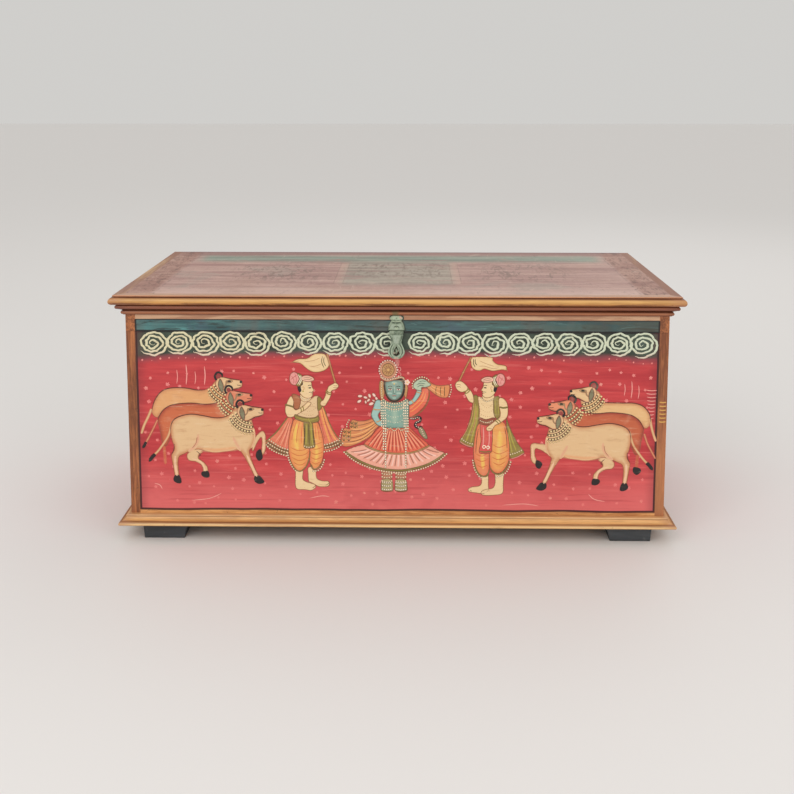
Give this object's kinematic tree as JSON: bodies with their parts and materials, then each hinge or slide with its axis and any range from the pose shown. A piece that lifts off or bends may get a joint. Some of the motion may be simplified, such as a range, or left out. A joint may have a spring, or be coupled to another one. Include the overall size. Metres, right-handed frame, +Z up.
{
  "type": "painted wooden chest",
  "caption": "Low painted wooden chest with a hinged moulded lid, hasp and staple, plinth moulding and block feet.",
  "frame": {"origin": "on the floor, under the middle of the whole chest's outer box", "axes": "+X to the right seen from the front, -Y out of the painted front, +Z up"},
  "size_m": [1, 0.508, 0.4474],
  "materials": {
    "painted_front": "hand painted, worn",
    "painted_skirt": "hand painted, worn",
    "painted_top": "faded paint",
    "moulding": "varnished, worn",
    "side_wood": "worn varnish",
    "plain_wood": "bare, aged",
    "foot_paint": "black paint",
    "iron": "dark forged iron",
    "painted_iron": "pale green paint over iron"
  },
  "bodies": {
    "chest": {"front_board": "painted_front", "left_side_board": "side_wood", "right_side_board": "side_wood", "back_board": "plain_wood", "floor_plank_front": "plain_wood", "floor_plank_middle": "plain_wood", "floor_plank_back": "plain_wood", "plinth_front": "moulding", "plinth_left": "moulding", "plinth_right": "moulding", "foot_front_left": "foot_paint", "foot_front_right": "foot_paint", "foot_back_left": "foot_paint", "foot_back_right": "foot_paint", "box_hinge_leaf_left": "iron", "box_hinge_leaf_right": "iron", "hinge_pin_left": "iron", "hinge_pin_right": "iron", "box_leaf_screws": "iron", "side_nails_left": "iron", "side_nails_right": "iron", "floor_nails": "iron", "foot_nails": "iron", "plinth_brads": "iron", "staple": "painted_iron"},
    "lid": {"lid_skirt_front": "painted_skirt", "lid_skirt_left": "side_wood", "lid_skirt_right": "side_wood", "lid_skirt_back": "plain_wood", "lid_batten_left": "plain_wood", "lid_batten_right": "plain_wood", "top_board_front": "painted_top", "top_board_middle": "painted_top", "top_board_back": "painted_top", "lid_edge_front": "moulding", "lid_edge_left": "moulding", "lid_edge_right": "moulding", "cornice_front": "moulding", "cornice_left": "moulding", "cornice_right": "moulding", "lid_hinge_leaf_left": "iron", "lid_hinge_leaf_right": "iron", "lid_leaf_screws": "iron", "skirt_nails": "iron", "batten_nails": "iron", "top_board_nails": "iron", "cornice_brads": "iron", "edge_brads": "iron", "hasp_plate": "painted_iron", "hasp_pin": "painted_iron", "hasp_rivets": "painted_iron"},
    "hasp": {"hasp_strap": "painted_iron"}
  },
  "joints": [
    {"name": "lid_hinge", "type": "hinge", "parent": "chest", "child": "lid", "pos_m": [0, 0.25, 0.3802], "axis": [-1, 0, 0], "range_deg": [0, 105]},
    {"name": "hasp_hinge", "type": "hinge", "parent": "lid", "child": "hasp", "pos_m": [0, -0.2336, 0.3804], "axis": [-1, 0, 0], "range_deg": [-15, 145]}
  ]
}
